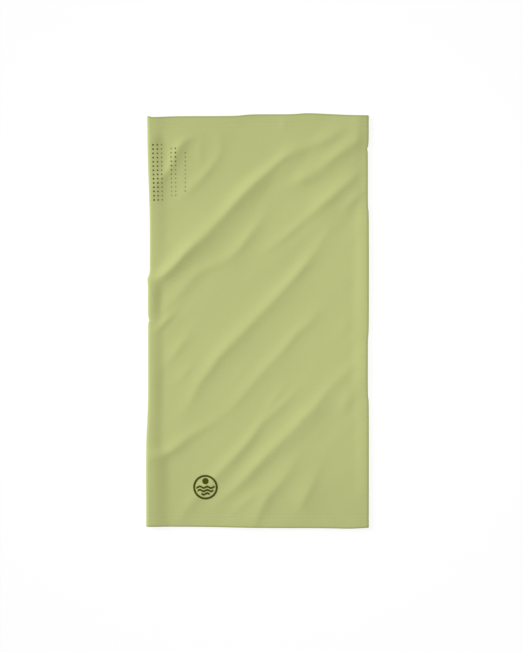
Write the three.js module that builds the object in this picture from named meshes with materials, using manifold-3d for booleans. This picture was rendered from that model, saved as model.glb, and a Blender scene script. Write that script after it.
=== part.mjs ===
// Neck gaiter: a tube of thin knit cloth, lying flat on its back.
//
// One rectangular panel of cloth is closed by a flat seam and both of its ends are turned in and
// stitched. The tube lies with its length along Y and its width along X. Its back layer rests on
// the ground at z = 0, its front layer is above, and the wearer's face is at the -X fold, where the
// breathing holes are. The seam is on the back layer beside the +X fold, at the nape.
//
// The origin is on the ground, under the middle of the tube. All sizes are in millimetres.

import * as THREE from "three";
import { mergeVertices } from "three/addons/utils/BufferGeometryUtils.js";
import Module from "manifold-3d";

// The tube
const tubeWidth = 245; // across the two side folds
const tubeLength = 456; // mouth to mouth
const tubeThickness = 9; // both layers and the air between them
const clothThickness = 0.7;

// The two hems, measured from each mouth
const hemDepth = 15; // how far the end of the cloth is turned in
const hemAir = 0.3; // between the outer cloth and the turned-in cloth
const rawEdgeMargin = 1; // from the raw edge to the nearer row of stitches
const needleGauge = 4; // between the two rows of stitches

// Sewing thread
const threadWidth = 0.5;
const threadThickness = 0.25;
const threadClearance = 0.1; // between a thread and the cloth beside or under it
const threadRecess = 0.05; // how far a thread lies below the face of the cloth
const looperOverhang = 0.6; // how far the looper thread reaches past the outer rows

// The seam that closes the panel into a tube
const seamInset = 12; // from the +X fold to the middle of the seam
const seamWidth = 6;
const seamSlit = 0.4; // between the two edges of the panel

// The breathing holes. Those of the back layer lie half a pitch lower than those of the front.
const holeRadius = 0.75;
const holePitch = 4.75; // between rows, and between columns of one group
const holeGroupGap = 10.8; // between the groups
const holeRowsInGroups = [[14, 14, 14], [12, 12], [10]]; // rows in each column, from the fold inwards
const firstColumnInset = 1.8; // from where the fold becomes flat to the first column
const holesBelowMouth = 62; // from the +Y mouth to the middle of the columns
const holeSides = 6;

// The transfer-film emblem on the front layer. The sizes of its drawing are shares of its radius.
const emblemInset = 64.5; // from the -X fold to the middle of the emblem
const emblemAboveMouth = 44; // from the -Y mouth to the middle of the emblem
const emblemRadius = 13.5;
const filmThickness = 0.2;
const filmClearance = 0.1;
const drawing = {
  stroke: 0.16,
  margin: 0.08, // between the ring and what it holds
  sunRadius: 0.26,
  firstWave: 0, // from the middle of the emblem to the middle of the upper wave
  waveStep: 0.27, // from one wave to the next
  waveHeight: 0.06, // from the middle of a wave to its crest
  waveLength: 0.6,
};

// The care label, a folded ribbon caught in the seam on the inside
const labelWidth = 22;
const labelHeight = 32;
const labelThickness = 0.4;
const labelAboveHem = 8;
const labelClearance = 0.3;

// How finely curves are drawn
const foldSegments = 12;
const discSegments = 40;
const waveSegments = 24;

const foldRadius = tubeThickness / 2;
const halfWidth = tubeWidth / 2;
const halfLength = tubeLength / 2;
const hemWall = 2 * clothThickness + hemAir; // the whole thickness of the wall at a hem
const grooveDepth = threadRecess + threadThickness + threadClearance;
const innerRow = hemDepth - rawEdgeMargin;
const outerRow = innerRow - needleGauge;
const seamX = halfWidth - seamInset;
const past = 1; // how far a cutter reaches past what it cuts

const wasm = await Module();
wasm.setup();

const materials = {
  knit: new THREE.MeshStandardMaterial({ color: 0xb7bc7e, roughness: 0.85, metalness: 0 }),
  thread: new THREE.MeshStandardMaterial({ color: 0xbcc184, roughness: 0.6, metalness: 0 }),
  film: new THREE.MeshStandardMaterial({ color: 0x4a4c12, roughness: 0.5, metalness: 0 }),
  label: new THREE.MeshStandardMaterial({ color: 0xf1f0ea, roughness: 0.45, metalness: 0 }),
};

// A three.js geometry as a manifold-3d solid.
function solidOf(geometry) {
  const bare = geometry.clone();
  bare.deleteAttribute("normal");
  bare.deleteAttribute("uv");
  const merged = mergeVertices(bare);
  return new wasm.Manifold(
    new wasm.Mesh({
      numProp: 3,
      vertProperties: new Float32Array(merged.attributes.position.array),
      triVerts: new Uint32Array(merged.index.array),
    }),
  );
}

// A manifold-3d solid as a named mesh.
function meshOf(name, solid, material) {
  const made = solid.getMesh();
  const positions = new Float32Array(made.numVert * 3);
  for (let i = 0; i < made.numVert; i++) {
    const start = i * made.numProp;
    positions.set(made.vertProperties.subarray(start, start + 3), i * 3);
  }
  const geometry = new THREE.BufferGeometry();
  geometry.setAttribute("position", new THREE.BufferAttribute(positions, 3));
  geometry.setIndex(new THREE.BufferAttribute(made.triVerts, 1));
  geometry.computeVertexNormals();
  const mesh = new THREE.Mesh(geometry, material);
  mesh.name = name;
  return mesh;
}

// The cross-section of the flattened tube, a stadium, some way inside its outer face.
function traceStadium(path, inset) {
  const radius = foldRadius - inset;
  const reach = halfWidth - foldRadius;
  path.absarc(reach, foldRadius, radius, -Math.PI / 2, Math.PI / 2, false);
  path.absarc(-reach, foldRadius, radius, Math.PI / 2, (3 * Math.PI) / 2, false);
  path.closePath();
  return path;
}

// A length of tube wall from y0 to y1, as thick as wall, with its outer face inset by that much.
function sleeve(inset, wall, y0, y1) {
  const section = traceStadium(new THREE.Shape(), inset);
  section.holes.push(traceStadium(new THREE.Path(), inset + wall));
  const geometry = new THREE.ExtrudeGeometry(section, {
    depth: y1 - y0,
    bevelEnabled: false,
    curveSegments: foldSegments,
  });
  geometry.rotateX(Math.PI / 2);
  geometry.translate(0, y1, 0);
  return solidOf(geometry);
}

// A box between two corners.
function block([x0, y0, z0], [x1, y1, z1]) {
  const geometry = new THREE.BoxGeometry(x1 - x0, y1 - y0, z1 - z0);
  geometry.translate((x0 + x1) / 2, (y0 + y1) / 2, (z0 + z1) / 2);
  return solidOf(geometry);
}

// A flat outline, extruded upwards from z.
function plate(outline, z, thickness) {
  const geometry = new THREE.ExtrudeGeometry(outline, {
    depth: thickness,
    bevelEnabled: false,
    curveSegments: discSegments,
  });
  geometry.translate(0, 0, z);
  return solidOf(geometry);
}

// A range of y measured from a mouth. side is +1 for the +Y mouth and -1 for the -Y mouth.
function fromMouth(side, near, far) {
  const ends = [side * (halfLength - near), side * (halfLength - far)];
  return [Math.min(...ends), Math.max(...ends)];
}

// The places of the breathing holes, as [x, y].
function holePlaces() {
  const places = [];
  const middle = halfLength - holesBelowMouth;
  let x = -halfWidth + foldRadius + firstColumnInset;
  for (const group of holeRowsInGroups) {
    for (const rows of group) {
      for (let row = 0; row < rows; row++) {
        places.push([x, middle + (row - (rows - 1) / 2) * holePitch]);
      }
      x += holePitch;
    }
    x += holeGroupGap - holePitch;
  }
  return places;
}

// One cutter for each breathing hole, through one layer.
function holeCutters() {
  const height = foldRadius + past;
  const layers = [
    { z: foldRadius + height / 2, shift: 0 },
    { z: foldRadius - height / 2, shift: -holePitch / 2 },
  ];
  return holePlaces().flatMap(([x, y]) =>
    layers.map(({ z, shift }) => {
      const geometry = new THREE.CylinderGeometry(holeRadius, holeRadius, height, holeSides);
      geometry.rotateX(Math.PI / 2);
      geometry.translate(x, y + shift, z);
      return solidOf(geometry);
    }),
  );
}

// The groove in the cloth that one row of hem stitches lies in.
function rowGroove(side, row) {
  const half = threadWidth / 2 + threadClearance;
  return sleeve(-past, past + grooveDepth, ...fromMouth(side, row - half, row + half));
}

// The knit panel: a tube wall with both ends turned in, slit along the seam.
function knitPanel() {
  let cloth = sleeve(0, clothThickness, -halfLength, halfLength);
  for (const side of [1, -1]) {
    const turn = sleeve(0, hemWall, ...fromMouth(side, 0, clothThickness));
    const inner = sleeve(clothThickness + hemAir, clothThickness, ...fromMouth(side, 0, hemDepth));
    cloth = cloth.add(turn).add(inner);
    for (const row of [outerRow, innerRow]) {
      cloth = cloth.subtract(rowGroove(side, row));
    }
  }
  const seamHalf = seamWidth / 2 + threadClearance;
  const end = halfLength + past;
  const groove = block([seamX - seamHalf, -end, -past], [seamX + seamHalf, end, grooveDepth]);
  const slitHalf = seamSlit / 2;
  const slit = block([seamX - slitHalf, -end, -past], [seamX + slitHalf, end, hemWall + past]);
  cloth = cloth.subtract(groove).subtract(slit);
  for (const cutter of holeCutters()) {
    cloth = cloth.subtract(cutter);
  }
  return meshOf("knit_panel", cloth, materials.knit);
}

// The room that the seam takes in a row of hem stitches, which begins and ends beside it.
function seamRoom() {
  const half = seamWidth / 2 + 2 * threadClearance;
  const end = halfLength + past;
  return block([seamX - half, -end, -past], [seamX + half, end, foldRadius]);
}

// The three threads of one hem: two rows on the outside and the looper that joins them inside.
function hemThreads(name, side) {
  const rows = { outer_row: outerRow, inner_row: innerRow };
  const meshes = Object.entries(rows).map(([label, row]) => {
    const ends = fromMouth(side, row - threadWidth / 2, row + threadWidth / 2);
    const thread = sleeve(threadRecess, threadThickness, ...ends).subtract(seamRoom());
    return meshOf(`${name}_needle_thread_${label}`, thread, materials.thread);
  });
  const looperEnds = fromMouth(side, outerRow - looperOverhang, innerRow + looperOverhang);
  const looper = sleeve(hemWall + threadClearance, threadThickness, ...looperEnds);
  meshes.push(meshOf(`${name}_looper_thread`, looper, materials.thread));
  return meshes;
}

// The four threads of the seam: two needle threads and a cover thread outside, a looper inside.
function seamThreads() {
  const z0 = threadRecess;
  const z1 = threadRecess + threadThickness;
  const end = halfLength - threadRecess;
  const seamHalf = seamWidth / 2;
  const strip = (name, x0, x1) =>
    meshOf(name, block([seamX + x0, -end, z0], [seamX + x1, end, z1]), materials.thread);
  const coverHalf = seamHalf - threadWidth - threadClearance;
  const inside = halfLength - hemDepth - rawEdgeMargin;
  const looper = block(
    [seamX - seamHalf, -inside, clothThickness + threadClearance],
    [seamX + seamHalf, inside, clothThickness + threadClearance + threadThickness],
  );
  return [
    strip("seam_needle_thread_left", -seamHalf, -seamHalf + threadWidth),
    strip("seam_needle_thread_right", seamHalf - threadWidth, seamHalf),
    strip("seam_cover_thread", -coverHalf, coverHalf),
    meshOf("seam_looper_thread", looper, materials.thread),
  ];
}

// The outline of one wave of the emblem, centred on [0, y], as long as fits inside the ring.
function waveOutline(y, room, { stroke, waveHeight, waveLength }) {
  const furthest = Math.abs(y) + waveHeight + stroke / 2;
  const half = Math.sqrt(room ** 2 - furthest ** 2);
  const across = Array.from({ length: waveSegments + 1 }, (_, i) => half * ((2 * i) / waveSegments - 1));
  const middle = (x) => y + waveHeight * Math.sin((2 * Math.PI * x) / waveLength);
  const lower = across.map((x) => new THREE.Vector2(x, middle(x) - stroke / 2));
  const upper = across.map((x) => new THREE.Vector2(x, middle(x) + stroke / 2));
  return new THREE.Shape([...lower, ...upper.reverse()]);
}

// The emblem: a ring with a sun over three waves, each a separate piece of film.
function emblem() {
  const sizes = Object.entries(drawing).map(([key, share]) => [key, share * emblemRadius]);
  const { margin, ...drawn } = Object.fromEntries(sizes);
  const inside = emblemRadius - drawn.stroke;
  const room = inside - margin;
  const ring = new THREE.Shape().absarc(0, 0, emblemRadius, 0, 2 * Math.PI, false);
  ring.holes.push(new THREE.Path().absarc(0, 0, inside, 0, 2 * Math.PI, true));
  const { sunRadius, firstWave, waveStep } = drawn;
  const outlines = {
    emblem_ring: ring,
    emblem_sun: new THREE.Shape().absarc(0, room - sunRadius, sunRadius, 0, 2 * Math.PI, false),
    emblem_wave_upper: waveOutline(firstWave, room, drawn),
    emblem_wave_middle: waveOutline(firstWave - waveStep, room, drawn),
    emblem_wave_lower: waveOutline(firstWave - 2 * waveStep, room, drawn),
  };
  const group = new THREE.Group();
  for (const [name, outline] of Object.entries(outlines)) {
    const film = plate(outline, tubeThickness + filmClearance, filmThickness);
    group.add(meshOf(name, film, materials.film));
  }
  group.position.set(-halfWidth + emblemInset, -halfLength + emblemAboveMouth, 0);
  return group;
}

// The care label, lying on the inside of the back layer with one edge at the seam.
function careLabel() {
  const x1 = seamX - seamWidth / 2 - labelClearance;
  const y0 = -halfLength + hemDepth + labelAboveHem;
  const z0 = clothThickness + labelClearance;
  const ribbon = block([x1 - labelWidth, y0, z0], [x1, y0 + labelHeight, z0 + labelThickness]);
  return meshOf("care_label", ribbon, materials.label);
}

const gaiter = new THREE.Group();
gaiter.add(knitPanel());
gaiter.add(...seamThreads());
gaiter.add(...hemThreads("top_hem", 1));
gaiter.add(...hemThreads("bottom_hem", -1));
gaiter.add(emblem());
gaiter.add(careLabel());

export default gaiter;
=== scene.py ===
import math

import bpy
import numpy as np
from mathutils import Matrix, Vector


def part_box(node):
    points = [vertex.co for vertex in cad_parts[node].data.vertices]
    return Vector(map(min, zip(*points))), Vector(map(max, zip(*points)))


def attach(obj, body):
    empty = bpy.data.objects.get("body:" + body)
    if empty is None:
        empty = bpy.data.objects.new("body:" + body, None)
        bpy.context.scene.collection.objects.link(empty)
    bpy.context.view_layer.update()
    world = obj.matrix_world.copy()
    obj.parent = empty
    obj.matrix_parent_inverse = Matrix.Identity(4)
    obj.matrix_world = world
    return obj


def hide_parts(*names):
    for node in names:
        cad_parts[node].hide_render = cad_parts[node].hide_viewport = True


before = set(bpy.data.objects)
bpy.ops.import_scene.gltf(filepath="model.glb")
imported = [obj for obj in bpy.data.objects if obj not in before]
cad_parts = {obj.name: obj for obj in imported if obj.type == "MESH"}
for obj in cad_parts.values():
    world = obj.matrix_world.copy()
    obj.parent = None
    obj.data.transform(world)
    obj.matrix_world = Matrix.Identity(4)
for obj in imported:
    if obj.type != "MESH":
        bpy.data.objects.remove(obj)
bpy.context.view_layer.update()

mm = 0.001
panelLow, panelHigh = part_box("knit_panel")
hemRowNodes = {
    "topHemNeedleThreadOuter": "top_hem_needle_thread_outer_row",
    "topHemNeedleThreadInner": "top_hem_needle_thread_inner_row",
    "bottomHemNeedleThreadOuter": "bottom_hem_needle_thread_outer_row",
    "bottomHemNeedleThreadInner": "bottom_hem_needle_thread_inner_row",
}


def middle(node):
    low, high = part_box(node)
    return (low + high) / 2


# colours, nodes and meshes, for every piece below


def linear(hexColour):
    # an sRGB hex colour as linear light, with alpha
    channels = [int(hexColour[i:i + 2], 16) / 255 for i in (1, 3, 5)]
    return [c / 12.92 if c <= 0.04045 else ((c + 0.055) / 1.055) ** 2.4 for c in channels] + [1]


def addNode(tree, kind, inputs=None, **settings):
    # adds a node, where an input is a value, a socket to link, or a list of sockets to link
    node = tree.nodes.new(kind)
    for key, value in settings.items():
        setattr(node, key, value)
    for key, value in (inputs or {}).items():
        if isinstance(value, bpy.types.NodeSocket):
            tree.links.new(value, node.inputs[key])
        elif isinstance(value, list) and isinstance(value[0], bpy.types.NodeSocket):
            for socket in value:
                tree.links.new(socket, node.inputs[key])
        else:
            node.inputs[key].default_value = value
    return node


def startTree(name, sockets):
    # a Geometry Nodes tree with a mesh in, named inputs, and a mesh out
    tree = bpy.data.node_groups.new(name, "GeometryNodeTree")
    tree.interface.new_socket("Geometry", in_out="INPUT", socket_type="NodeSocketGeometry")
    for label, kind in sockets.items():
        tree.interface.new_socket(label, in_out="INPUT", socket_type="NodeSocket" + kind)
    tree.interface.new_socket("Geometry", in_out="OUTPUT", socket_type="NodeSocketGeometry")
    return tree, addNode(tree, "NodeGroupInput").outputs


def endTree(tree, geometry, material):
    # every tree ends in Realize Instances and Set Material
    realized = addNode(tree, "GeometryNodeRealizeInstances", {"Geometry": geometry})
    painted = addNode(
        tree,
        "GeometryNodeSetMaterial",
        {"Geometry": realized.outputs[0], "Material": material},
    )
    addNode(tree, "NodeGroupOutput", {"Geometry": painted.outputs[0]})


def addObject(name, data):
    added = bpy.data.objects.new(name, data)
    bpy.context.scene.collection.objects.link(added)
    return added


def bake(host):
    # what an object's modifier makes of its mesh, as a plain mesh, in place of the object
    mesh = host.data
    graph = bpy.context.evaluated_depsgraph_get()
    made = bpy.data.meshes.new_from_object(host.evaluated_get(graph), depsgraph=graph)
    bpy.data.objects.remove(host)
    bpy.data.meshes.remove(mesh)
    return made


def runTree(mesh, tree, values):
    # what a Geometry Nodes tree makes of a mesh
    host = addObject("host", mesh)
    modifier = host.modifiers.new("nodes", "NODES")
    modifier.node_group = tree
    for item in tree.interface.items_tree:
        if item.in_out == "INPUT" and item.name in values:
            modifier[item.identifier] = values[item.name]
    return bake(host)


def meshOf(name, points, faces=(), edges=()):
    mesh = bpy.data.meshes.new(name)
    mesh.from_pydata(np.asarray(points, float).tolist(), edges, faces)
    mesh.update()
    return mesh


def pointsOf(mesh):
    points = np.zeros(len(mesh.vertices) * 3, np.float32)
    mesh.vertices.foreach_get("co", points)
    return points.reshape(-1, 3).astype(float)


def movePoints(mesh, points):
    mesh.vertices.foreach_set("co", points.astype(np.float32).ravel())
    mesh.update()


def addUv(mesh, name, across, along):
    # a UV map in metres, from one pair of values for each point
    layer = mesh.uv_layers.new(name=name)
    corners = np.zeros(len(mesh.loops), np.int32)
    mesh.loops.foreach_get("vertex_index", corners)
    layer.data.foreach_set("uv", np.stack([across, along], 1)[corners].astype(np.float32).ravel())


def gridFaces(rows, columns, closed=False):
    # quads between the points of a grid that is written row by row
    faces = []
    for i in range(rows - 1):
        for j in range(columns if closed else columns - 1):
            k = (j + 1) % columns
            row, nextRow = i * columns, (i + 1) * columns
            faces.append((row + j, row + k, nextRow + k, nextRow + j))
    return faces


def thicken(mesh, thickness, sharpAngle=40):
    # a sheet given its thickness, half on each side, with a crisp rim
    host = addObject("host", mesh)
    solidify = host.modifiers.new("thickness", "SOLIDIFY")
    solidify.thickness = thickness
    solidify.offset = 0
    solidify.use_even_offset = True
    made = bake(host)
    made.shade_smooth()
    made.set_sharp_from_angle(angle=math.radians(sharpAngle))
    return made


def finishPiece(name, mesh, material, nodes):
    piece = addObject(name, mesh)
    mesh.name = name
    mesh.materials.clear()
    mesh.materials.append(material)
    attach(piece, "root")
    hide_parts(*nodes)
    print(f"{name}: {len(mesh.polygons)} faces")
    return piece


# camera


def makeCamera():
    # looks straight down from far above, with the tube upright in the frame
    view = {
        "lens": 100,
        "sensor": 36,
        "frameHeight": 719.5 * mm,
        "aim": (3.3 * mm, -6.1 * mm),
        "plane": 5 * mm,  # the height where the frame is as high as frameHeight
    }
    data = bpy.data.cameras.new("camera")
    data.lens = view["lens"]
    data.sensor_width = view["sensor"]
    camera = addObject("camera", data)
    distance = view["lens"] / view["sensor"] * view["frameHeight"]
    camera.location = (*view["aim"], distance + view["plane"])
    bpy.context.scene.camera = camera


makeCamera()
print("camera placed")


# the shape of the cloth
# u runs around the tube from the middle of the front layer, v along it from its middle

cloth = {
    "halfWidth": panelHigh.x,
    "halfLength": panelHigh.y,
    "thickness": 0.7 * mm,
    "foldRadius": 2.7 * mm,  # of a side fold, to the middle of the cloth
    "loft": 2.0 * mm,  # between the middles of the two layers
    "hemLoft": 3.1 * mm,
    "hemDepth": 15 * mm,
    "hemSlope": 70 * mm,  # how far in from a hem the layers come together
    "turnRadius": 0.5 * mm,  # where the cloth turns in at a mouth
    "offFloor": 0.15 * mm,
    "seamX": middle("seam_cover_thread").x,
    "seamFlat": 3,  # half the width that the seam's threads press down, in millimetres
    "seamSlit": 0.06 * mm,  # the two edges butt together
    "rowDip": 0.14 * mm,  # how far a row of stitches pulls the cloth in
    "rowWidth": 0.8 * mm,
    "seamDip": 0.45 * mm,
    "edgePower": 6,  # how quickly the outline's shape fades away from a side edge
}
cloth["face"] = cloth["thickness"] / 2  # from the middle of the cloth out to its face
cloth["flat"] = cloth["halfWidth"] - cloth["face"] - cloth["foldRadius"]
cloth["foldLength"] = math.pi * cloth["foldRadius"]
cloth["seamU"] = 2 * cloth["flat"] + cloth["foldLength"] - cloth["seamX"]
cloth["around"] = 4 * cloth["flat"] + 2 * cloth["foldLength"]
cloth["straight"] = cloth["halfLength"] - cloth["face"] - cloth["turnRadius"]
rowPlaces = sorted({round(abs(middle(node).y), 5) for node in hemRowNodes.values()})

# the outline, in millimetres: (place along the edge, how far the edge is inside the widest one)
outline = {
    "left": [
        (-228, -1), (-141, -1), (-112, 0.1), (-80, 1.1), (-8, 1.1), (0, 2.2), (8, 1),
        (38, 0.9), (46, 0.4), (53, 2.6), (65, 3), (120, 2.8), (175, 1), (228, 0),
    ],
    "right": [
        (-228, 0), (-100, 0), (-80, 1), (-25, 1), (0, 0), (110, 0), (130, 1),
        (183, 1.1), (191, 1.9), (198, 0.3), (228, 0),
    ],
    "top": [
        (-123, 2.4), (-119, 2.8), (-115, 3.5), (-90, 2.5), (-30, 2.2), (-5, 0.4), (35, 0.2),
        (55, -0.9), (80, 0.1), (105, 1.2), (122, 1.4),
    ],
    "bottom": [(-122, 0.4), (-60, 0), (0, -1), (70, -1.4), (100, -1.9), (122, -1)],
}

# the side folds: (place along the edge in millimetres, how much it swells as a share, and how far in
# from it the two layers come together, in millimetres)
folds = {
    "left": [
        (-228, 1.5, 27), (-152, 1.5, 26), (-136, 0.8, 18), (-60, 0.9, 18), (-25, 0.7, 18), (0, 0.6, 15),
        (16, 1.1, 15), (40, 1.1, 16), (56, 0.4, 18), (72, 0.6, 22), (125, 0.7, 22), (146, 1.2, 22),
        (188, 1.3, 21), (201, 1.8, 18), (211, 0.9, 18), (218, 0.7, 22), (228, 0.7, 22),
    ],
    "right": [
        (-228, 0.05, 14), (-200, 0.1, 15), (-180, 0.4, 16), (-100, 0.45, 17), (-84, 0.35, 18),
        (-60, 0.65, 18), (-40, 0.65, 18), (-14, 0.4, 18), (10, 0.55, 18), (50, 0.7, 17), (110, 0.5, 16),
        (140, 0.3, 15), (175, 0.2, 14), (200, 0.1, 13), (228, 0.05, 12),
    ],
}

# the wrinkles, in millimetres: how wide the upper-left side and the lower-right side are, then
# (x, y, height) at points along the crest, from its lower left to its upper right
wrinkles = [
    (8, 6.5, [
        (-122, 45, 3), (-110, 48, 4.6), (-98, 57, 5.6), (-80, 76, 5.8), (-60, 94, 5.5), (-42, 114, 4.9),
        (-24, 134, 3.8), (-8, 149, 2.2), (6, 161, 0.6),
    ]),
    (8, 6.5, [
        (-46, 109, 0.2), (-34, 123, 1), (-20, 137, 2.1), (0, 155, 3.6), (10, 164, 4.1), (20, 173, 4.2),
        (30, 181, 3.5), (40, 188, 2), (50, 194, 0.5),
    ]),
    (16, 6, [
        (22, 174, 0.3), (34, 183, 2), (46, 187, 3.1), (62, 193, 3.1), (78, 201, 2.5), (90, 209, 1.3),
        (100, 215, 0.3),
    ]),
    (8.5, 7, [
        (34, 147, 0.6), (45, 153, 1.5), (60, 161, 2.5), (70, 168, 3.2), (80, 177, 3.6), (90, 185, 3.6),
        (100, 193, 2.9), (110, 200, 1.7), (120, 207, 0.6),
    ]),
    (8, 3.5, [(44, 151, 0.2), (50, 154, 1.1), (60, 157, 1.2), (70, 161, 0.4)]),
    (7.5, 5.5, [
        (4, 74, 0.3), (20, 87, 1.3), (40, 103, 2.1), (60, 120, 2.6), (70, 129, 3.1), (80, 137, 3.4),
        (90, 146, 3.1), (100, 155, 2.4), (108, 163, 1.1), (116, 171, 0.3),
    ]),
    (7, 4.5, [(92, 117, 0.3), (98, 126, 1.3), (105, 134, 1.9), (112, 140, 1.8), (122, 148, 0.9)]),
    (20, 5, [(110, 182, 0.2), (114, 192, 1), (116, 204, 1.6), (117, 216, 1.9), (117, 232, 1.9)]),
    (9, 5.5, [
        (-94, -110, 0.2), (-78, -91, 1.3), (-66, -70, 2.2), (-54, -56, 2.9), (-40, -38, 3.5),
        (-20, -16, 3.7), (0, 5, 3.6), (20, 24, 3.3), (40, 46, 2.8), (50, 59, 2.5), (62, 76, 1.9),
        (76, 98, 1.4), (88, 116, 0.4),
    ]),
    (8, 6, [
        (-112, 6, 0.4), (-100, 17, 1.2), (-88, 30, 1.4), (-70, 50, 1.6), (-52, 60, 1.6), (-36, 67, 1.8),
        (-22, 79, 2.3), (-14, 89, 2.1), (-4, 103, 1.5), (8, 119, 0.5),
    ]),
    (7, 4, [(-124, -18, 1), (-113, -11, 1.9), (-102, 1, 2), (-90, 10, 0.5)]),
    (7.5, 5, [
        (-42, -106, 0.4), (-25, -88, 1.7), (-8, -70, 2.1), (10, -52, 2.2), (26, -36, 2.2),
        (42, -16, 2.4), (54, -5, 1.9), (68, 10, 0.5),
    ]),
    (8, 5.5, [
        (-126, -160, 1.6), (-113, -152, 2.8), (-100, -147, 3.5), (-88, -138, 3.6), (-78, -129, 3.1),
        (-66, -121, 2.3), (-54, -114, 1.6), (-40, -102, 0.5),
    ]),
    (7, 6.5, [
        (-54, -209, 0.5), (-40, -196, 1.8), (-20, -179, 3), (0, -158, 3.7), (20, -138, 3.6),
        (40, -119, 3.3), (50, -108, 3.2), (62, -96, 2.8), (76, -78, 2), (92, -60, 1.1), (106, -46, 0.3),
    ]),
    (8, 6, [
        (-90, -224, 0.4), (-74, -203, 1.5), (-56, -184, 1.8), (-44, -171, 2.9), (-30, -156, 3.4),
        (-18, -142, 3.2), (-6, -126, 2.6), (6, -108, 1.3), (20, -92, 0.3),
    ]),
    (6, 4.5, [(0, -118, 0.2), (18, -101, 1.2), (30, -89, 1.2), (46, -73, 0.3)]),
    (5, 4, [(6, -100, 0.2), (18, -84, 1), (32, -66, 0.2)]),
    (11, 6, [
        (-4, -226, 1), (5, -204, 2.6), (13, -190, 3.4), (24, -178, 3.2), (34, -165, 2.5),
        (42, -152, 1.4), (49, -139, 0.3),
    ]),
    (6, 4.5, [(-30, -214, 0.4), (-12, -198, 1.4), (4, -187, 0.5)]),
    (12, 4.5, [(44, -211, 0.4), (50, -198, 2), (58, -183, 1.9), (66, -166, 0.9), (74, -152, 0.2)]),
    (6, 5, [
        (-122, 144, 0.8), (-108, 157, 2.1), (-99, 166, 2.4), (-93, 177, 2.7), (-88, 188, 2.8),
        (-83, 196, 2.3), (-76, 201, 1.3), (-66, 204, 0.3),
    ]),
    (7, 6, [
        (-90, 132, 0.3), (-76, 147, 1.6), (-64, 159, 2.2), (-54, 170, 2.3), (-45, 182, 2),
        (-41, 196, 1.3), (-44, 211, 0.3),
    ]),
    (5, 3.5, [(-66, 171, 0.2), (-64, 185, 0.9), (-62, 201, 0.3)]),
    (5.5, 4.5, [(-100, -49, 0.3), (-88, -32, 1.2), (-76, -15, 0.4)]),
    (5.5, 4.5, [(-94, -72, 0.2), (-80, -58, 1.2), (-64, -40, 0.2)]),
    (5, 4.5, [(-32, -70, 0.2), (-20, -56, 0.8), (-8, -40, 0.2)]),
    (9, 7, [(92, -28, 0.2), (97, -10, 0.9), (101, 6, 0.3)]),
    (9, 8, [(92, -108, 0.2), (96, -90, 1.2), (99, -72, 0.2)]),
    (3.5, 3, [(26, 206, 0.2), (28, 216, 0.8), (31, 228, 0.4)]),
]

drape = {
    # low random hills, stretched along the wrinkles: (along, across) in millimetres, height and seed
    "hills": [((95, 34), 1.2, 11), ((60, 14), 0.5, 23)],
    "creases": ((24, 7), 0.45, 37),  # finer ones, in patches
    "patches": ((60, 30), 0.9, 41),
    "angle": math.radians(47),
    "sharp": 1.4,  # 2 is a round wrinkle, and less is sharper along its crest
    "round": 0.7,  # how far the crest itself is rounded, in millimetres
    "shelf": 0.32,  # the share of a wrinkle's lower-right side that falls slowly
    "shelfWidth": 2.8,  # in widths of that side
    # how wrinkles wander, and how their height and width change along them
    "wander": ((34, 20), 1.7, 51),
    "heightChange": ((34, 22), 0.22, 53),
    "widthChange": ((30, 24), 0.2, 54),
    "rise": 0.3,  # millimetres added everywhere, so that softFloor levels off only the lowest dips
    "softFloor": 0.5,
    "calm": 0.6,  # the share of the wrinkles that a side fold takes away
    "randomHeights": 64,  # to each side of the grid that the hills are drawn from
    "randomReach": 1.7,  # smoothing brings these heights down to about 1
}


def smoothLine(points, steps=8):
    # more points, on a smooth curve through these
    given = np.array(points, float)
    given = np.vstack([2 * given[0] - given[1], given, 2 * given[-1] - given[-2]])
    t = (np.arange(steps) / steps)[:, None]
    parts = []
    for a, b, c, d in zip(given, given[1:], given[2:], given[3:]):
        curve = 2 * a - 5 * b + 4 * c - d + t * (3 * b - a - 3 * c + d)
        parts.append(b + 0.5 * t * (c - a + t * curve))
    return np.vstack(parts + [given[-2:-1]])


def ease(t):
    t = np.clip(t, 0, 1)
    return t * t * (3 - 2 * t)


def softEase(t):
    t = np.clip(t, 0, 1)
    return t ** 3 * (6 * t ** 2 - 15 * t + 10)


def wrinkleHeight(x, y, stretch, upperWidth, lowerWidth, crest):
    # one wrinkle's height at each place, in millimetres
    line = smoothLine(crest)
    best, side, height = np.full(x.shape, np.inf), np.zeros(x.shape), np.zeros(x.shape)
    for a, b in zip(line, line[1:]):
        d = b - a
        t = np.clip(((x - a[0]) * d[0] + (y - a[1]) * d[1]) / (d[0] ** 2 + d[1] ** 2), 0, 1)
        offX, offY = x - a[0] - t * d[0], y - a[1] - t * d[1]
        distance = np.hypot(offX, offY)
        closer = distance < best
        best = np.where(closer, distance, best)
        side = np.where(closer, d[0] * offY - d[1] * offX, side)
        height = np.where(closer, a[2] + t * d[2], height)
    shelf = np.where(side > 0, 0, drape["shelf"])
    near = np.hypot(best, drape["round"]) - drape["round"]
    near /= np.where(side > 0, upperWidth, lowerWidth) * stretch
    slow = near / drape["shelfWidth"]
    return height * ((1 - shelf) * np.exp(-near ** drape["sharp"]) + shelf * np.exp(-slow ** 2))


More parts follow.
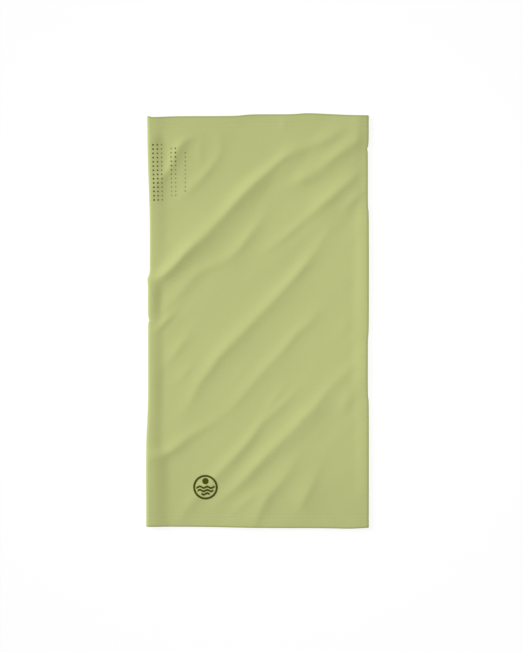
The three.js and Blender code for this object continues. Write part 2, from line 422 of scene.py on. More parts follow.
def softHills(x, y, size, seed):
    # smooth random hills from about -1 to 1, by cubic splines over a grid of random heights
    count, reach = drape["randomHeights"], drape["randomReach"]
    heights = np.random.default_rng(seed).uniform(-reach, reach, (count, count))
    cosine, sine = math.cos(drape["angle"]), math.sin(drape["angle"])
    a = (x * cosine + y * sine) / size[0] + count / 2
    b = (y * cosine - x * sine) / size[1] + count / 2
    total = np.zeros(x.shape)
    for i, weightA in enumerate(splineWeights(a % 1)):
        for j, weightB in enumerate(splineWeights(b % 1)):
            rows, columns = np.floor(a).astype(int) + i, np.floor(b).astype(int) + j
            total += weightA * weightB * heights[rows % count, columns % count]
    return total


def splineWeights(t):
    # the shares of the four grid heights around a place
    second = (3 * t ** 3 - 6 * t ** 2 + 4) / 6
    third = (1 + 3 * t * (1 + t - t * t)) / 6
    return (1 - t) ** 3 / 6, second, third, t ** 3 / 6


def relief(x, y):
    # the front layer's height over its resting place, in metres
    x, y = x / mm, y / mm
    size, wander, seed = drape["wander"]
    warpedX = x + wander * softHills(x, y, size, seed)
    warpedY = y + wander * softHills(x, y, size, seed + 1)
    size, change, seed = drape["widthChange"]
    stretch = np.exp(change * softHills(x, y, size, seed))
    total = np.zeros(x.shape)
    for wrinkle in wrinkles:
        total += wrinkleHeight(warpedX, warpedY, stretch, *wrinkle)
    size, change, seed = drape["heightChange"]
    total *= 1 + change * softHills(x, y, size, seed)
    for size, height, seed in drape["hills"]:
        total += height * softHills(x, y, size, seed)
    size, height, seed = drape["creases"]
    patchSize, patchHeight, patchSeed = drape["patches"]
    patches = np.clip(0.5 + patchHeight * softHills(x, y, patchSize, patchSeed), 0, 1)
    total += height * patches * softHills(warpedX, warpedY, size, seed)
    soft = drape["softFloor"]
    return np.logaddexp(0, (total + drape["rise"]) / soft) * soft * mm  # never below the resting place


def alongEdge(stops, place, value=1):
    # a value that changes smoothly along an edge
    line = smoothLine(stops)
    return np.interp(place / mm, line[:, 0], line[:, value])


def inset(edge, place):
    return alongEdge(outline[edge], place) * mm


def besideFold(side, place):
    # how much the side fold swells, and how far in its swelling reaches
    left, right = folds["left"], folds["right"]
    return [np.where(side > 0, alongEdge(right, place, i), alongEdge(left, place, i)) for i in (1, 2)]


def basePoint(u, v):
    # the middle of the outer cloth
    r, flat = cloth["foldRadius"], cloth["flat"]
    side, reach = np.sign(u), np.abs(u) - flat
    turn = np.clip(reach / r, 0, math.pi)
    x = side * (np.minimum(np.abs(u), flat) + r * np.sin(turn) - np.clip(reach - math.pi * r, 0, None))
    front = (1 + np.cos(turn)) / 2
    swell, spread = besideFold(side, v)
    fold = 1 - softEase((flat - side * x) / mm / spread)
    hem = ease((np.abs(v) - cloth["halfLength"] + cloth["hemDepth"]) / cloth["hemSlope"] + 1)
    loft = cloth["loft"] + (cloth["hemLoft"] - cloth["loft"]) * hem
    lift = relief(x, v) * (1 - drape["calm"] * fold)
    z = front * (loft + (2 * r - loft) * fold * swell) + front ** 2 * lift
    edge = (x / cloth["halfWidth"]) ** cloth["edgePower"]
    x = x + edge * np.where(x > 0, -inset("right", v), inset("left", v))
    mouth = ease(np.abs(v) / cloth["halfLength"]) * np.where(v > 0, inset("top", x), -inset("bottom", x))
    return np.stack([x, v - mouth, z + cloth["face"] + cloth["offFloor"]], 1)


def clothFrame(u, v):
    # the place, the outward normal, and the directions around and along the tube
    step = 0.25 * mm
    around = basePoint(u + step, v) - basePoint(u - step, v)
    along = basePoint(u, v + step) - basePoint(u, v - step)
    around /= np.linalg.norm(around, axis=1)[:, None]
    along /= np.linalg.norm(along, axis=1)[:, None]
    normal = np.cross(around, along)
    normal /= np.linalg.norm(normal, axis=1)[:, None]
    return basePoint(u, v), normal, around, along


def onCloth(u, v, lift=0):
    # a place on the panel, whose ends turn in at the mouths, where the lift is outwards from the middle
    # of the cloth
    u, v = np.broadcast_arrays(np.asarray(u, float), np.asarray(v, float))
    radius, straight = cloth["turnRadius"], cloth["straight"]
    over = np.clip(np.abs(v) - straight, 0, None)
    turn = np.clip(over / radius, 0, math.pi)
    inward = np.clip(over - math.pi * radius, 0, None)
    end = np.sign(v)
    outerV = end * (np.minimum(np.abs(v), straight) - inward)
    place, normal, around, along = clothFrame(u, outerV)
    fromRows = [(np.abs(outerV) - row) / cloth["rowWidth"] for row in rowPlaces]
    dip = sum(np.exp(-fromRow ** 2) for fromRow in fromRows) * cloth["rowDip"]
    fromSeam = np.abs(u - cloth["seamU"])
    fromSeam = np.minimum(fromSeam, cloth["around"] - fromSeam) / mm
    dip = np.maximum(dip, cloth["seamDip"] * (1 - ease(fromSeam - cloth["seamFlat"])))
    level = (radius + lift) * np.cos(turn) - radius - dip
    reach = (radius + lift) * np.sin(turn) * end
    facing = normal * np.cos(turn)[:, None] + along * (np.sin(turn) * end)[:, None]
    return place + normal * level[:, None] + along * reach[:, None], facing, around, along


# materials


def newMaterial(name):
    material = bpy.data.materials.new(name)
    material.use_nodes = True
    tree = material.node_tree
    return material, tree, tree.nodes["Principled BSDF"]


def setSurface(tree, shader, colour, bump, surface):
    # joins a colour and a bump to the shader, and sets the rest of its inputs
    tree.links.new(colour.outputs[2], shader.inputs["Base Color"])
    tree.links.new(bump.outputs[0], shader.inputs["Normal"])
    for key, value in surface.items():
        shader.inputs[key].default_value = value


def shadeBy(tree, shader, pattern, look):
    # one pattern colours the surface from its dips to its tops, and raises it
    colour = addNode(
        tree,
        "ShaderNodeMix",
        {0: pattern, 6: linear(look["dips"]), 7: linear(look["tops"])},
        data_type="RGBA",
    )
    bump = addNode(
        tree, "ShaderNodeBump", {"Height": pattern, "Distance": look["depth"], "Strength": 0.5}
    )
    setSurface(tree, shader, colour, bump, look["surface"])


def grainy(name, look):
    # a material whose pattern is an even fine grain
    material, tree, shader = newMaterial(name)
    place = addNode(tree, "ShaderNodeTexCoord")
    grain = addNode(
        tree,
        "ShaderNodeTexNoise",
        {"Vector": place.outputs["Object"], "Scale": 1 / look["grain"], "Detail": 2.0},
    )
    shadeBy(tree, shader, grain.outputs[0], look)
    return material


def brushedJersey():
    # polyester and elastane jersey with a light brushed face: matt, with a faint soft rim of fibre
    look = {
        "colour": "#BAC080",
        "shade": "#A9B16B",
        "glow": "#C7CD91",
        "paintedShadeColour": "#565C16",  # painted shade round each hole, also for its darker fused edge, and a little on pressed edges
        "wale": 1.1 * mm,  # real wales are 0.5 mm apart, drawn twice as coarse so that they show
        "course": 0.9 * mm,
        "knitDepth": 0.05 * mm,
        "slant": 2.2,  # how far the legs of a loop lean, in radians of the wales' wave for each course
        "fibre": 1.1 * mm,  # the size of the brushed fibre's mottling
        "fibreHeight": 1.2,
        "haze": 45 * mm,  # the size of the clouds that the mottling comes and goes in
        "plain": (0.72, 0.92),  # the least and the most that these clouds hide of it
    }
    surface = {
        "Roughness": 0.85,
        "IOR": 1.5,
        "Specular IOR Level": 0.06,
        "Sheen Weight": 0.06,
        "Sheen Roughness": 0.5,
        "Sheen Tint": linear(look["glow"]),
    }
    material, tree, shader = newMaterial("brushedJersey")
    uv = addNode(tree, "ShaderNodeUVMap", uv_map="panelUv")
    split = addNode(tree, "ShaderNodeSeparateXYZ", {"Vector": uv.outputs[0]})
    courses = addNode(
        tree, "ShaderNodeMath", {0: split.outputs[1], 1: 1 / look["course"]}, operation="MULTIPLY"
    )
    legs = addNode(tree, "ShaderNodeMath", {0: courses.outputs[0], 1: 0.5}, operation="PINGPONG")
    wales = addNode(
        tree,
        "ShaderNodeMath",
        {0: split.outputs[0], 1: 2 * math.pi / look["wale"]},
        operation="MULTIPLY",
    )
    slanted = addNode(
        tree,
        "ShaderNodeMath",
        {0: legs.outputs[0], 1: look["slant"], 2: wales.outputs[0]},
        operation="MULTIPLY_ADD",
    )
    loops = addNode(tree, "ShaderNodeMath", {0: slanted.outputs[0]}, operation="SINE")
    fibre = addNode(
        tree, "ShaderNodeTexNoise", {"Vector": uv.outputs[0], "Scale": 1 / look["fibre"], "Detail": 3.0}
    )
    cloudy = addNode(
        tree, "ShaderNodeTexNoise", {"Vector": uv.outputs[0], "Scale": 1 / look["haze"], "Detail": 2.0}
    )
    height = addNode(
        tree,
        "ShaderNodeMath",
        {0: fibre.outputs[0], 1: look["fibreHeight"], 2: loops.outputs[0]},
        operation="MULTIPLY_ADD",
    )
    bump = addNode(
        tree,
        "ShaderNodeBump",
        {"Height": height.outputs[0], "Distance": look["knitDepth"], "Strength": 0.6},
    )
    ramp = addNode(
        tree, "ShaderNodeMapRange", {"Value": fibre.outputs[0], "From Min": 0.3, "From Max": 0.7}
    )
    mottled = addNode(
        tree,
        "ShaderNodeMix",
        {0: ramp.outputs[0], 6: linear(look["shade"]), 7: linear(look["glow"])},
        data_type="RGBA",
    )
    least, most = look["plain"]
    haze = addNode(
        tree, "ShaderNodeMapRange", {"Value": cloudy.outputs[0], "To Min": least, "To Max": most}
    )
    colour = addNode(
        tree,
        "ShaderNodeMix",
        {0: haze.outputs[0], 6: mottled.outputs[2], 7: linear(look["colour"])},
        data_type="RGBA",
    )
    # painted shade: the cloth is darkened round each hole and along the pressed edges of the hems
    darkness = addNode(tree, "ShaderNodeAttribute", attribute_name="darkness")
    shadedColour = addNode(
        tree,
        "ShaderNodeMix",
        {0: darkness.outputs["Fac"], 6: colour.outputs[2], 7: linear(look["paintedShadeColour"])},
        data_type="RGBA",
    )
    setSurface(tree, shader, shadedColour, bump, surface)
    return material


def texturedThread():
    # bulked polyester sewing thread in the cloth's colour: a little lighter and smoother than the cloth
    look = {
        "dips": "#B7BD7E",
        "tops": "#D2D7A3",
        "grain": 0.4 * mm,  # the size of the mottling that its crimped filaments give
        "depth": 0.05 * mm,
        "surface": {"Roughness": 0.6, "Sheen Weight": 0.1},
    }
    return grainy("texturedThread", look)


def transferFilm():
    # heat-transfer polyurethane film: flat dark olive, matt, taking a trace of the knit under it
    look = {
        "dips": "#414203",
        "tops": "#4B4D0C",
        "grain": 0.7 * mm,  # about the size of the loops under it
        "depth": 0.04 * mm,
        "surface": {"Roughness": 0.6, "Specular IOR Level": 0.08},
    }
    return grainy("transferFilm", look)


def satinRibbon():
    # white polyester satin: long floats along the ribbon give it a soft gloss across them
    look = {
        "dips": "#DEDCD2",
        "tops": "#F1F0EA",
        "float": 0.6 * mm,  # real floats are under 0.2 mm apart, drawn coarser so that they show
        "depth": 0.03 * mm,
        "surface": {"Roughness": 0.4, "Anisotropic": 0.5},
    }
    material, tree, shader = newMaterial("satinRibbon")
    uv = addNode(tree, "ShaderNodeUVMap", uv_map="ribbonUv")
    waves = math.pi / 10 / look["float"]  # this texture repeats every pi / 10 / scale
    floats = addNode(
        tree, "ShaderNodeTexWave", {"Vector": uv.outputs[0], "Scale": waves, "Distortion": 1.5}
    )
    shadeBy(tree, shader, floats.outputs["Fac"], look)
    return material


jersey = brushedJersey()
thread = texturedThread()
film = transferFilm()
satin = satinRibbon()
print("materials made")


# the knit panel, with its breathing holes

holes = {
    "radius": 0.75 * mm,
    "pitch": 4.75 * mm,
    "groupGap": 10.8 * mm,
    "rows": [[14, 14, 14], [12, 12], [10]],  # in each column of each group, from the fold inwards
    "firstColumn": panelLow.x + 6.3 * mm,
    "middle": panelHigh.y - 62 * mm,
    "sides": 14,
    "weld": 0.02 * mm,
    # how open the holes are: all the way near the fold, less further in, and more over a wrinkle
    "narrowing": 0.55,
    "narrowFrom": 4,  # these three are in millimetres: from the fold, then how high the cloth stands
    "narrowOver": 12,
    "slackLift": 1.2,
    "stretching": 0.13,  # for each millimetre over that height
    "least": 0.35,
    "closing": (1, 0.5),  # a slack hole draws in more across the tube than along it
    # painted shade darkens the cloth a little along the pressed edges of the hems, over this width in
    # millimetres
    "edgeShade": 0.3,
    "edgeShadeWidth": 2.2,
}
holes["cell"] = holes["pitch"] / 2  # the side of the square of cloth around one hole


def holePlaces():
    # the columns of holes in the front layer, and the same ones in the back layer, as (u, [v])
    columns = []
    x = holes["firstColumn"]
    for group in holes["rows"]:
        for count in group:
            rows = [holes["middle"] + (i - (count - 1) / 2) * holes["pitch"] for i in range(count)]
            columns.append((x, rows))
            behind = [row - holes["pitch"] / 2 for row in rows]
            columns.append((-(2 * cloth["flat"] + cloth["foldLength"] + x), behind))
            x += holes["pitch"]
        x += holes["groupGap"] - holes["pitch"]
    return columns


def gridLines(low, high, step, bands):
    # places from low to high, at most step apart, and evenly divided in the bands (start, end, step)
    lines = [low]
    rounding = 1e-6  # so that a stretch that is a whole number of steps isn't given one more
    for start, end, fine in sorted(bands) + [(high, high, step)]:
        for a, b, spacing in ((lines[-1], start, step), (start, end, fine)):
            count = math.ceil((b - a) / spacing - rounding)
            lines += [a + (b - a) * (i + 1) / count for i in range(count)]
    return np.array(lines)


def panelGrid(columns):
    # the flat panel as a grid with the cells of its holes left out
    grid = {
        "step": 2.6 * mm,
        "backStep": 5 * mm,  # the back layer has no wrinkles
        "seam": 4 * mm,
        "seamStep": 1 * mm,
        "foldSteps": 11,
        "turnSteps": 5,
        "hem": 18 * mm,  # the finer part that takes in the rows of stitches
        "hemStep": 0.75 * mm,
    }
    half, straight = holes["cell"] / 2, cloth["straight"]
    flat, foldEnd = cloth["flat"], cloth["flat"] + cloth["foldLength"]
    turned = math.pi * cloth["turnRadius"]
    foldStep, turnStep = cloth["foldLength"] / grid["foldSteps"], turned / grid["turnSteps"]
    everyRow = [v for u, rows in columns for v in rows]
    alongBands = [(min(everyRow) - half, max(everyRow) + half, holes["cell"])]
    for side in (-1, 1):
        for near, far, step in ((-grid["hem"], 0, grid["hemStep"]), (0, turned, turnStep)):
            alongBands.append((*sorted((side * (straight + near), side * (straight + far))), step))
    start = cloth["seamU"] - cloth["around"] + cloth["seamSlit"] / 2
    end = cloth["seamU"] - cloth["seamSlit"] / 2
    cells = [(u - half, u + half, holes["cell"]) for u, rows in columns]
    behind = [cell for cell in cells if cell[1] < -foldEnd]
    behind += [(start, start + grid["seam"], grid["seamStep"])]
    before = [cell for cell in cells if cell[1] > -foldEnd]
    before += [(-foldEnd, -flat, foldStep), (flat, foldEnd, foldStep)]
    across = np.concatenate([
        gridLines(start, -foldEnd, grid["backStep"], behind),
        gridLines(-foldEnd, foldEnd, grid["step"], before)[1:],
        gridLines(foldEnd, end, grid["backStep"], [(end - grid["seam"], end, grid["seamStep"])])[1:],
    ])
    last = straight + turned + cloth["hemDepth"] - cloth["turnRadius"]
    along = gridLines(-last, last, grid["step"], alongBands)
    cut = {
        (np.searchsorted(along, v) - 1, np.searchsorted(across, u) - 1)
        for u, rows in columns
        for v in rows
    }
    width = len(across) - 1
    every = gridFaces(len(along), len(across))
    faces = [face for i, face in enumerate(every) if divmod(i, width) not in cut]
    v, u = np.meshgrid(along, across, indexing="ij")
    return meshOf("panelGrid", np.stack([u.ravel(), v.ravel(), np.zeros(u.size)], 1), faces)


def perforateTree():
    # puts a square of cloth with a round hole in it at each point, and joins them to the panel
    sockets = {
        "Hole Points": "Object",
        "Hole Radius": "Float",
        "Cell": "Float",
        "Sides": "Int",
        "Weld": "Float",
        "Cloth": "Material",
    }
    tree, given = startTree("perforate", sockets)
    hole = addNode(
        tree,
        "GeometryNodeCurvePrimitiveCircle",
        {"Resolution": given["Sides"], "Radius": given["Hole Radius"]},
    )
    square = addNode(
        tree,
        "GeometryNodeCurvePrimitiveQuadrilateral",
        {"Width": given["Cell"], "Height": given["Cell"]},
    )
    both = addNode(tree, "GeometryNodeJoinGeometry", {"Geometry": [hole.outputs[0], square.outputs[0]]})
    patch = addNode(tree, "GeometryNodeFillCurve", {"Curve": both.outputs[0]})
    points = addNode(tree, "GeometryNodeObjectInfo", {"Object": given["Hole Points"]})
    placed = addNode(
        tree,
        "GeometryNodeInstanceOnPoints",
        {"Points": points.outputs["Geometry"], "Instance": patch.outputs[0]},
    )
    real = addNode(tree, "GeometryNodeRealizeInstances", {"Geometry": placed.outputs[0]})
    pieces = [given["Geometry"], real.outputs[0]]
    joined = addNode(tree, "GeometryNodeJoinGeometry", {"Geometry": pieces})
    merged = addNode(
        tree,
        "GeometryNodeMergeByDistance",
        {"Geometry": joined.outputs[0], "Distance": given["Weld"]},
    )
    endTree(tree, merged.outputs[0], given["Cloth"])
    return tree


def openHoles(points, places):
    # draws in the rim of each hole where the cloth is slack, and gives the painted shade at each point
    # of the cloth:
    # the more open a hole, the darker its rim is painted, for the shade inside it and a little for its
    # fused edge
    fromEdge = np.abs(np.abs(points[:, 1]) - cloth["straight"] - cloth["turnRadius"]) / mm
    # painted shade along the pressed edges of the hems, where the edge rolls away
    darkness = holes["edgeShade"] * (1 - ease(fromEdge / holes["edgeShadeWidth"]))
    for u, v, level in places:
        offset = points[:, :2] - (u, v)
        onRim = np.hypot(*offset.T) < (holes["radius"] + holes["cell"] / 2) / 2
        x = max(u, -u - 2 * cloth["flat"] - cloth["foldLength"])  # the back's holes match the front's
        lift = relief(np.array([x]), np.array([v]))[0] / mm
        fromFold = ((x + cloth["flat"]) / mm - holes["narrowFrom"]) / holes["narrowOver"]
        stretched = holes["stretching"] * (lift - holes["slackLift"])
        share = 1 - holes["narrowing"] * ease(fromFold) + stretched
        share = float(np.clip(share, holes["least"], 1))
        points[onRim, :2] -= offset[onRim] * (1 - share) * holes["closing"]
        # painted shade at the rim: the more open the hole, the darker the rim
        darkness[onRim] = share
    return darkness


def makePanel():
    columns = holePlaces()
    places = [(u, v, 0) for u, rows in columns for v in rows]
    holePoints = addObject("holePoints", meshOf("holePoints", places))
    values = {
        "Hole Points": holePoints,
        "Hole Radius": holes["radius"],
        "Cell": holes["cell"],
        "Sides": holes["sides"],
        "Weld": holes["weld"],
        "Cloth": jersey,
    }
    flatMesh = runTree(panelGrid(columns), perforateTree(), values)
    bpy.data.objects.remove(holePoints)
    flatPoints = pointsOf(flatMesh)
    # the painted shade, kept on the points for the cloth's material to read
    darkness = flatMesh.attributes.new("darkness", "FLOAT", "POINT")
    darkness.data.foreach_set("value", openHoles(flatPoints, places).astype(np.float32))
    addUv(flatMesh, "panelUv", flatPoints[:, 0], flatPoints[:, 1])
    movePoints(flatMesh, onCloth(flatPoints[:, 0], flatPoints[:, 1])[0])
    mesh = thicken(flatMesh, cloth["thickness"])
    return finishPiece("knitPanel", mesh, jersey, ["knit_panel"])


panel = makePanel()


# sewing threads

stitch = {
    "pitch": 2.8 * mm,
    "length": 2.5 * mm,
    "width": 0.5 * mm,
    "arch": 0.22 * mm,  # how far the middle of a stitch stands over its ends
    "lift": 0.02 * mm,
    "sinking": ((26, 26), 0.16 * mm, 61),  # tighter stretches: size in millimetres, depth and seed
    "sides": 6,
    "fromSeam": 3.4 * mm,  # where a hem's rows begin and end
}
# for each looper's thread: how far it swings to each side, its pitch, how far it doubles back as a share
# of the pitch, and how far out it lies and rises as shares of its width
chain = {
    "width": 0.3 * mm,
    "sides": 5,
    "steps": 10,
    "fromHem": 1 * mm,  # from a turned-in hem to the end of the seam's looper
    "hem": {"reach": 2.2 * mm, "pitch": 2.8 * mm, "back": 0.22, "out": 0.5, "rise": 0.8},
    "cover": {"reach": 2.2 * mm, "pitch": 1.7 * mm, "back": 0.1, "out": 0.3, "rise": 0.3},
    "looper": {"reach": 2.6 * mm, "pitch": 2.8 * mm, "back": 0.2, "out": 0.5, "rise": 0.8},
}
seamEnds = (cloth["seamU"] - cloth["around"] + stitch["fromSeam"], cloth["seamU"] - stitch["fromSeam"])


def sweepThread(tree, given, curve):
    # a round thread of the given width along a curve
    radius = addNode(tree, "ShaderNodeMath", {0: given["Width"], 1: 0.5}, operation="MULTIPLY")
    ring = addNode(
        tree,
        "GeometryNodeCurvePrimitiveCircle",
        {"Resolution": given["Sides"], "Radius": radius.outputs[0]},
    )
    swept = addNode(
        tree,
        "GeometryNodeCurveToMesh",
        {"Curve": curve, "Profile Curve": ring.outputs[0], "Fill Caps": True},
    )
    return swept.outputs[0]


def stitchTree():
    # one arched stitch at each point, turned to the point's own directions
    sockets = {
        "Length": "Float",
        "Width": "Float",
        "Arch": "Float",
        "Sides": "Int",
        "Thread": "Material",
    }
    tree, given = startTree("stitchRow", sockets)
    half = addNode(tree, "ShaderNodeMath", {0: given["Length"], 1: 0.5}, operation="MULTIPLY")
    minus = addNode(tree, "ShaderNodeMath", {0: given["Length"], 1: -0.5}, operation="MULTIPLY")
    sink = addNode(tree, "ShaderNodeMath", {0: given["Arch"], 1: -1.0}, operation="MULTIPLY")
    start = addNode(tree, "ShaderNodeCombineXYZ", {0: minus.outputs[0], 2: sink.outputs[0]})
    end = addNode(tree, "ShaderNodeCombineXYZ", {0: half.outputs[0], 2: sink.outputs[0]})
    top = addNode(tree, "ShaderNodeCombineXYZ", {2: given["Arch"]})
    arch = addNode(
        tree,
        "GeometryNodeCurveQuadraticBezier",
        {"Resolution": 5, "Start": start.outputs[0], "Middle": top.outputs[0], "End": end.outputs[0]},
    )
    one = sweepThread(tree, given, arch.outputs[0])
    vector = {"data_type": "FLOAT_VECTOR"}
    around = addNode(tree, "GeometryNodeInputNamedAttribute", {"Name": "runs"}, **vector)
    normal = addNode(tree, "GeometryNodeInputNamedAttribute", {"Name": "faces"}, **vector)
    turned = addNode(
        tree,
        "FunctionNodeAxesToRotation",
        {"Primary Axis": normal.outputs[0], "Secondary Axis": around.outputs[0]},
        primary_axis="Z",
        secondary_axis="X",
    )
    placed = addNode(
        tree,
        "GeometryNodeInstanceOnPoints",
        {"Points": given["Geometry"], "Instance": one, "Rotation": turned.outputs[0]},
    )
    endTree(tree, placed.outputs[0], given["Thread"])
    return tree


def threadTree():
    # a round thread along a line of points
    sockets = {"Width": "Float", "Sides": "Int", "Thread": "Material"}
    tree, given = startTree("threadAlongPath", sockets)
    path = addNode(tree, "GeometryNodeMeshToCurve", {"Mesh": given["Geometry"]})
    endTree(tree, sweepThread(tree, given, path.outputs[0]), given["Thread"])
    return tree


stitchRowTree = stitchTree()
threadPathTree = threadTree()


def stitchRow(name, node, u, v, lift, runsAround):
    # a row of separate stitches on the outer face of the cloth
    places, normal, around, along = onCloth(u, v, lift)
    points = meshOf(name, places)
    for label, vectors in (("runs", around if runsAround else along), ("faces", normal)):
        layer = points.attributes.new(label, "FLOAT_VECTOR", "POINT")
        layer.data.foreach_set("vector", vectors.astype(np.float32).ravel())
    values = {
        "Length": stitch["length"],
        "Width": stitch["width"],
        "Arch": stitch["arch"],
        "Sides": stitch["sides"],
        "Thread": thread,
    }
    mesh = runTree(points, stitchRowTree, values)
    mesh.shade_smooth()
    return finishPiece(name, mesh, thread, [node])


def evenly(low, high, pitch):
    count = round((high - low) / pitch)
    return low + (np.arange(count) + 0.5) * (high - low) / count


def hemRow(name, node):
    # a hem's needle thread, all the way around
    size, depth, seed = stitch["sinking"]
    u, v = evenly(*seamEnds, stitch["pitch"]), middle(node).y
    sunk = depth * np.clip(0.5 + softHills(u / mm, v / mm, size, seed), 0, 1)
    return stitchRow(name, node, u, v, cloth["face"] + stitch["lift"] - sunk, True)


def seamRow(name, node):
    # the seam's needle thread on one edge of the panel, as long as the tube
    v = evenly(-cloth["straight"], cloth["straight"], stitch["pitch"])
    offset = np.full(v.shape, cloth["seamX"] - middle(node).x)
    return stitchRow(name, node, seamU(offset), v, cloth["face"], False)


def seamU(offset):
    # the place around the tube at an offset from the seam, on whichever edge of the panel is there
    return cloth["seamU"] + np.where(offset < 0, offset, offset - cloth["around"])


def chainPath(length, path):
    # a looper's path: it swings from side to side and doubles back to catch each needle thread
    turns = round(length / path["pitch"])
    angle = np.linspace(0, 2 * math.pi * turns, turns * chain["steps"] + 1)
    along = angle / (2 * math.pi) * length / turns + path["back"] * path["pitch"] * np.sin(2 * angle)
    out = chain["width"] * (path["out"] + path["rise"] * np.abs(np.cos(angle)))
    return along - length / 2, path["reach"] * np.sin(angle), out


def threadLine(name, node, places):
    # one thread along a line of places
    points = meshOf(name, places, edges=[(i, i + 1) for i in range(len(places) - 1)])
    values = {"Width": chain["width"], "Sides": chain["sides"], "Thread": thread}
    mesh = runTree(points, threadPathTree, values)
    mesh.shade_smooth()
    return finishPiece(name, mesh, thread, [node])


def hemLooper(name, node):
    # inside the turned-in hem
    swing, cross, out = chainPath(seamEnds[1] - seamEnds[0], chain["hem"])
    inner = 2 * cloth["turnRadius"] + cloth["face"]
    u, v = sum(seamEnds) / 2 + swing, middle(node).y + cross
    return threadLine(name, node, onCloth(u, v, -inner - out)[0])


def seamThreads():
    swing, cross, out = chainPath(2 * cloth["straight"], chain["cover"])
    outside = onCloth(seamU(cross), swing, cloth["face"] + out)[0]
    between = cloth["straight"] - cloth["hemDepth"] - chain["fromHem"]
    swing, cross, out = chainPath(2 * between, chain["looper"])
    inside = onCloth(seamU(cross), swing, -cloth["face"] - out)[0]
    return [
        threadLine("seamCoverThread", "seam_cover_thread", outside),
        threadLine("seamLooperThread", "seam_looper_thread", inside),
    ]


threads = [hemRow(name, node) for name, node in hemRowNodes.items()]
threads.append(hemLooper("topHemLooperThread", "top_hem_looper_thread"))
threads.append(hemLooper("bottomHemLooperThread", "bottom_hem_looper_thread"))
threads.append(seamRow("seamNeedleThreadLeft", "seam_needle_thread_left"))
threads.append(seamRow("seamNeedleThreadRight", "seam_needle_thread_right"))
threads += seamThreads()
print("threads sewn")


# emblem: a sun over three waves in a ring, of film pressed onto the front layer

ringLow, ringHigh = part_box("emblem_ring")
emblem = {
    "x": (ringLow.x + ringHigh.x) / 2,
    "y": (ringLow.y + ringHigh.y) / 2,
    "radius": (ringHigh.x - ringLow.x) / 2,
    "stroke": 0.16,  # this and the next three are shares of the radius
    "waveHeight": 0.06,
    "waveLength": 0.6,
    "sunMiddle": 0.01,  # of the disc that closes the sun
    "lift": 0.1 * mm,
    "thickness": 0.2 * mm,
    # lines of points across a shape, and points in each
    "ringPoints": (4, 72),
    "sunPoints": (7, 40),
    "wavePoints": (4, 49),
}


def filmPiece(name, node, x, y, faces):
    # x and y are shares of the emblem's radius from its middle
    u, v = emblem["x"] + np.ravel(x) * emblem["radius"], emblem["y"] + np.ravel(y) * emblem["radius"]
    lift = cloth["face"] + emblem["lift"] + emblem["thickness"] / 2
    mesh = thicken(meshOf(name, onCloth(u, v, lift)[0], faces), emblem["thickness"])
    return finishPiece(name, mesh, film, [node])


def polarPiece(name, node, centreY, radii, points, filled):
    # a ring, with its circles of points from the outside in, or a disc when the last circle is filled
    circles, sides = points
    angle = np.linspace(0, 2 * math.pi, sides, endpoint=False)
    r, a = np.meshgrid(np.linspace(*radii, circles), angle, indexing="ij")
    faces = gridFaces(circles, sides, closed=True)
    if filled:
        faces.append(tuple(range((circles - 1) * sides, circles * sides)))
    return filmPiece(name, node, r * np.cos(a), centreY + r * np.sin(a), faces)


def waveFilm(name, node):
    # a wavy strip, as long as the model's own
    low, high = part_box(node)
    reach = (high.x - low.x) / 2 / emblem["radius"]
    y = ((low.y + high.y) / 2 - emblem["y"]) / emblem["radius"]
    rows, columns = emblem["wavePoints"]
    across = np.linspace(-reach, reach, columns)
    edge = np.linspace(-0.5, 0.5, rows) * emblem["stroke"]
    x, offset = np.meshgrid(across, edge)
    wave = emblem["waveHeight"] * np.sin(2 * math.pi * x / emblem["waveLength"])
    return filmPiece(name, node, x, y + wave + offset, gridFaces(rows, columns))


sunLow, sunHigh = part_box("emblem_sun")
sunRadius = (sunHigh.x - sunLow.x) / 2 / emblem["radius"]
sunY = ((sunLow.y + sunHigh.y) / 2 - emblem["y"]) / emblem["radius"]
ringRadii, sunRadii = (1, 1 - emblem["stroke"]), (sunRadius, emblem["sunMiddle"])
films = [
    polarPiece("emblemRing", "emblem_ring", 0, ringRadii, emblem["ringPoints"], False),
    polarPiece("emblemSun", "emblem_sun", sunY, sunRadii, emblem["sunPoints"], True),
]
for place in ("Upper", "Middle", "Lower"):
    films.append(waveFilm("emblemWave" + place, "emblem_wave_" + place.lower()))
print("emblem pressed on")


# care label: a folded satin ribbon with its edge in the seam, inside the back layer


def makeLabel():
    ribbon = {
        "thickness": 0.25 * mm,
        "step": 1 * mm,
        "curl": 0.08 * mm,  # how far its free edge stands off the cloth
        "ripple": 0.4,  # the share that the curl changes by along it
        "rippleTurn": 5,  # how far that wave turns over its length, in radians
        "gap": 0.7,  # from the cloth to its middle, as a share of its thickness
    }
    low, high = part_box("care_label")
    width, length = high.x - low.x, high.y - low.y
    columns, rows = round(width / ribbon["step"]) + 1, round(length / ribbon["step"]) + 1
    alongLines, acrossLines = np.linspace(low.y, high.y, rows), np.linspace(low.x, high.x, columns)
    y, x = (part.ravel() for part in np.meshgrid(alongLines, acrossLines, indexing="ij"))
    free = (high.x - x) / width  # 0 at the seam and 1 at the free edge
    ripple = 1 + ribbon["ripple"] * np.sin((y - low.y) / length * ribbon["rippleTurn"])
    sunk = cloth["face"] + ribbon["gap"] * ribbon["thickness"] + ribbon["curl"] * free ** 2 * ripple
    mesh = meshOf("careLabel", onCloth(seamU(cloth["seamX"] - x), y, -sunk)[0], gridFaces(rows, columns))
    addUv(mesh, "ribbonUv", x, y)
    return finishPiece("careLabel", thicken(mesh, ribbon["thickness"]), satin, ["care_label"])


label = makeLabel()


# floor and light


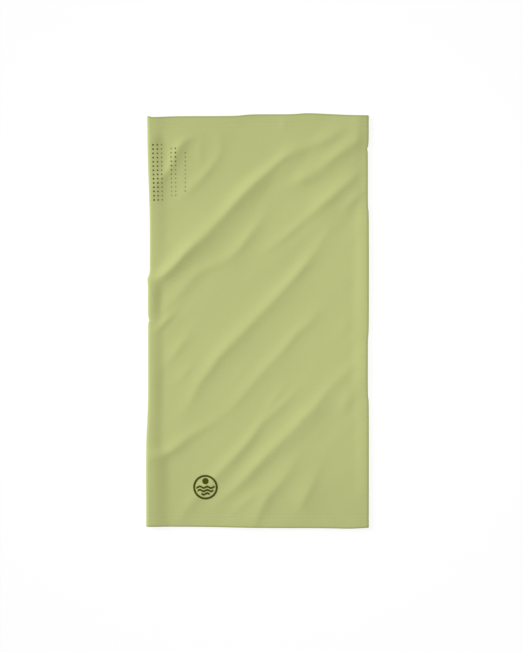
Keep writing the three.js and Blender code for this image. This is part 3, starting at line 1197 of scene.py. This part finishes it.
def makeStage():
    # a matt paper floor that is lit up from behind, so that it stays white and its shadows faint
    paper = {"reach": 4, "colour": "#8C8C8C", "glow": "#FFFFFF", "strength": 0.78}
    low, high = -paper["reach"], paper["reach"]
    corners = [(low, low, 0), (high, low, 0), (high, high, 0), (low, high, 0)]
    mesh = meshOf("floor", corners, [(0, 1, 2, 3)])
    material, tree, shader = newMaterial("mattPaper")
    shader.inputs["Base Color"].default_value = linear(paper["colour"])
    shader.inputs["Roughness"].default_value = 0.9
    shader.inputs["Specular IOR Level"].default_value = 0
    shader.inputs["Emission Color"].default_value = linear(paper["glow"])
    shader.inputs["Emission Strength"].default_value = paper["strength"]
    mesh.materials.append(material)
    addObject("floor", mesh)


def makeLamp(name, kind, settings, place, turn):
    data = bpy.data.lights.new(name, kind)
    for key, value in settings.items():
        setattr(data, key, value)
    lamp = addObject(name, data)
    lamp.location = place
    lamp.rotation_euler = turn


def makeLight():
    # an even pale room, a low soft light from the left, and a wide soft pool of light from overhead
    studio = {
        "room": 0.55,
        "key": 1.86,
        "softness": math.radians(30),
        "tilt": math.radians(65),
        "from": math.radians(158),
        "pool": 0.2,  # how bright the pool makes a white floor at its middle
        "poolAt": (-0.02, 0.015),
        "poolHeight": 3,
        "poolRadius": 0.4,
    }
    world = bpy.data.worlds.new("room")
    world.use_nodes = True
    world.node_tree.nodes["Background"].inputs["Color"].default_value = (1, 1, 1, 1)
    world.node_tree.nodes["Background"].inputs["Strength"].default_value = studio["room"]
    bpy.context.scene.world = world
    key = {"energy": studio["key"], "angle": studio["softness"]}
    makeLamp("key", "SUN", key, (0, 0, 1), (0, studio["tilt"], studio["from"]))
    height = studio["poolHeight"]
    spread = 4 * math.pi ** 2 * height ** 2  # the watts that make a white floor as bright as 1
    pool = {
        "energy": studio["pool"] * spread,
        "spot_size": 2 * math.atan(studio["poolRadius"] / height),
        "spot_blend": 1,
        "shadow_soft_size": 0.1,
    }
    makeLamp("pool", "SPOT", pool, (*studio["poolAt"], height), (0, 0, 0))


makeStage()
makeLight()
bpy.context.scene.view_settings.view_transform = "Standard"
print("stage set")
